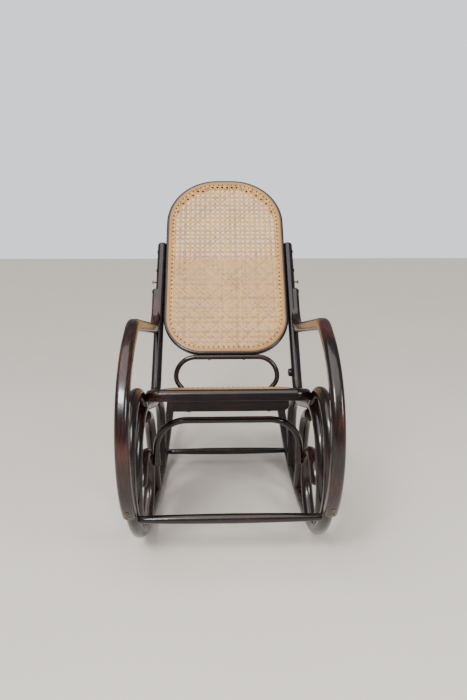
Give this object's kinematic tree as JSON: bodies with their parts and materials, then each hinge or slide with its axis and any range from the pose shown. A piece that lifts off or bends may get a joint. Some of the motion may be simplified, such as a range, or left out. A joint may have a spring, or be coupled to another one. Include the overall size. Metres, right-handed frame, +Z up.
{
  "type": "rocking chair",
  "caption": "Bentwood rocking chair with scrolled side frames, a tilted caned back and a caned seat, on curved runners.",
  "frame": {"origin": "on the floor, under the middle of the bounding box", "axes": "+Z up, +Y towards the back of the chair, +X towards the right seen from the front"},
  "size_m": [0.5432, 1.0818, 1.0703],
  "materials": {
    "dark_lacquer": "gloss lacquer, near black over red-brown beech",
    "arm_lacquer": "gloss lacquer, red-brown where light strikes",
    "seat_lacquer": "gloss lacquer, worn along the front edge",
    "cane": "woven rattan cane, satin",
    "cane_binder": "flat rattan binder, stained honey",
    "screw_brass": "dulled brass, darkened",
    "dowel_beech": "bare beech"
  },
  "bodies": {
    "root": {"apron_screws": "screw_brass", "arch_screws": "screw_brass", "arm_bolts": "screw_brass", "arm_foot_screws": "screw_brass", "arm_left": "arm_lacquer", "arm_right": "arm_lacquer", "back_binder": "cane_binder", "back_bolts": "screw_brass", "back_cane": "cane", "back_frame": "dark_lacquer", "back_hoop": "dark_lacquer", "back_post_left": "dark_lacquer", "back_post_right": "dark_lacquer", "brace_screws": "screw_brass", "curl_screws": "screw_brass", "foot_dowels": "dowel_beech", "front_stretcher": "dark_lacquer", "hoop_screws": "screw_brass", "middle_brace_left": "dark_lacquer", "middle_brace_right": "dark_lacquer", "post_button": "dark_lacquer", "rear_brace_left": "dark_lacquer", "rear_brace_right": "dark_lacquer", "rear_stretcher": "dark_lacquer", "runner_left": "dark_lacquer", "runner_right": "dark_lacquer", "seat_apron": "seat_lacquer", "seat_binder": "cane_binder", "seat_cane": "cane", "seat_frame": "seat_lacquer", "seat_screws": "screw_brass", "small_scroll_left": "dark_lacquer", "small_scroll_right": "dark_lacquer", "under_seat_arch": "dark_lacquer"}
  },
  "joints": []
}
